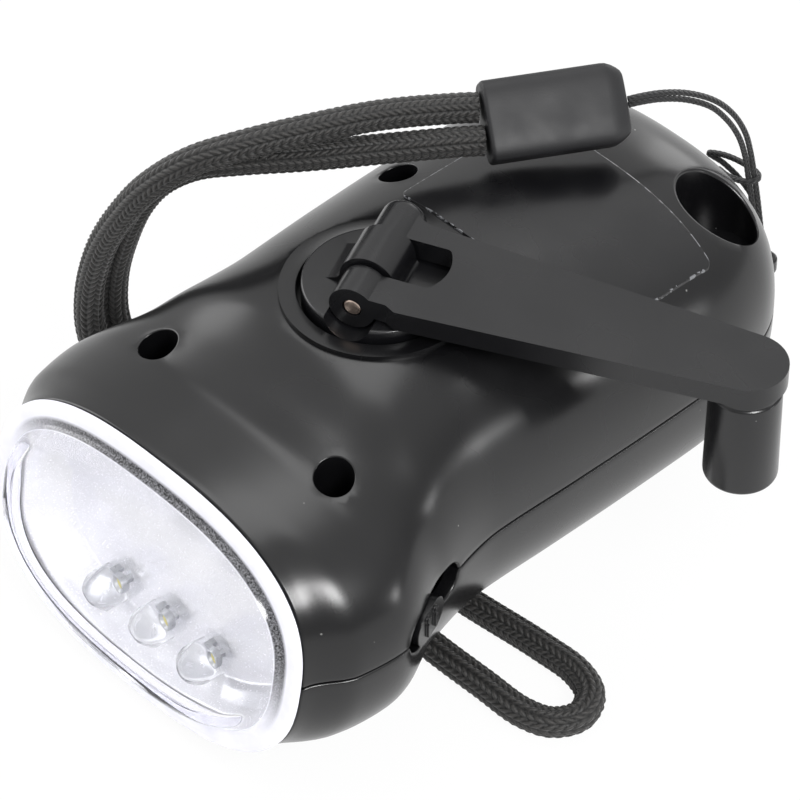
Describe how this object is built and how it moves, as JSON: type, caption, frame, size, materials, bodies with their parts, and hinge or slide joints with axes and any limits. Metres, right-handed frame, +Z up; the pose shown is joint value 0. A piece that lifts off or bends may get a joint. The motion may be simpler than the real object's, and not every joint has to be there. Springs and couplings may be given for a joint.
{
  "type": "hand crank flashlight",
  "caption": "Palm-sized waisted hand crank flashlight: a domed lamp window in front, a folding crank on top, a side slide switch and a braided wrist cord on a bead.",
  "frame": {"origin": "middle of the flat rear pad on the underside, on the housing's middle plane, 27 mm behind the crank's axis", "axes": "+Z up, -Y out of the lens, +X to the side of the slide switch"},
  "size_m": [0.0893, 0.0989, 0.0493],
  "materials": {
    "housing": "satin moulded ABS",
    "screw_steel": "zinc plated",
    "label": "glossy film",
    "clear_plastic": "clear moulded plastic",
    "reflector_metal": "vacuum metallised plastic",
    "led_epoxy": "clear epoxy",
    "board": "solder mask",
    "crank_plastic": "fine textured ABS",
    "pin_steel": "nickel flashed steel",
    "acetal": "natural acetal",
    "plate_steel": "zinc plated sheet",
    "copper_wire": "enamelled copper winding",
    "ferrite": "sintered ferrite",
    "switch_plastic": "moulded ABS",
    "cell_nickel": "nickel plated can",
    "shrink_film": "shrink sleeve",
    "bead_rubber": "matt rubber",
    "cord_braid": "braided nylon",
    "thread_braid": "twisted nylon thread"
  },
  "bodies": {
    "housing": {"upper_shell": "housing", "lower_shell": "housing", "shell_screw_1": "screw_steel", "shell_screw_2": "screw_steel", "shell_screw_3": "screw_steel", "shell_screw_4": "screw_steel", "label_film": "label", "lens_cover": "clear_plastic", "reflector": "reflector_metal", "led_left": "led_epoxy", "led_centre": "led_epoxy", "led_right": "led_epoxy", "led_board": "board", "shaft_bush": "acetal", "idler_axle_1": "pin_steel", "idler_axle_2": "pin_steel", "gear_frame": "acetal", "pole_plate_lower": "plate_steel", "pole_plate_upper": "plate_steel", "stator_bobbin": "acetal", "stator_coil": "copper_wire", "switch_body": "plate_steel", "battery_cell_1": "cell_nickel", "battery_cell_2": "cell_nickel", "battery_cell_3": "cell_nickel", "battery_sleeve": "shrink_film", "control_board": "board", "strap_bead": "bead_rubber", "wrist_cord": "cord_braid", "strap_thread": "thread_braid"},
    "crank": {"crank_turntable": "crank_plastic", "hinge_pin": "pin_steel", "drive_gear": "acetal", "gear_screw": "screw_steel"},
    "arm": {"crank_arm": "crank_plastic", "knob_screw": "screw_steel"},
    "knob": {"crank_knob": "crank_plastic"},
    "first_idler": {"idler_gear_1": "acetal"},
    "second_idler": {"idler_gear_2": "acetal"},
    "rotor": {"rotor_magnet": "ferrite", "rotor_axle": "pin_steel", "rotor_pinion": "acetal"},
    "slider": {"switch_slider": "switch_plastic"}
  },
  "joints": [
    {"name": "crank_spin", "type": "hinge", "parent": "housing", "child": "crank", "pos_m": [0, -0.027, 0.039], "axis": [0, 0, 1], "range_deg": [-60, 24]},
    {"name": "arm_fold", "type": "hinge", "parent": "crank", "child": "arm", "pos_m": [-0.00046, -0.0272, 0.0421], "axis": [0.4067, -0.9135, 0], "range_deg": [0, 150]},
    {"name": "knob_spin", "type": "hinge", "parent": "arm", "child": "knob", "pos_m": [0.04065, -0.0089, 0.034], "axis": [0, 0, 1], "continuous": true},
    {"name": "first_idler_spin", "type": "hinge", "parent": "housing", "child": "first_idler", "pos_m": [0, -0.0426, 0.03], "axis": [0, 0, 1], "continuous": true},
    {"name": "second_idler_spin", "type": "hinge", "parent": "housing", "child": "second_idler", "pos_m": [-0.01021, -0.03629, 0.027], "axis": [0, 0, 1], "continuous": true},
    {"name": "rotor_spin", "type": "hinge", "parent": "housing", "child": "rotor", "pos_m": [0, -0.03219, 0.015], "axis": [0, 0, 1], "continuous": true},
    {"name": "switch_slide", "type": "slide", "parent": "housing", "child": "slider", "axis": [-0.3496, 0.9369, 0], "range_m": [0, 0.0025]}
  ],
  "couplings": [
    {"joint": "first_idler_spin", "follows": "crank_spin", "ratio": -3.3333},
    {"joint": "second_idler_spin", "follows": "crank_spin", "ratio": 10},
    {"joint": "rotor_spin", "follows": "crank_spin", "ratio": -26.667}
  ]
}
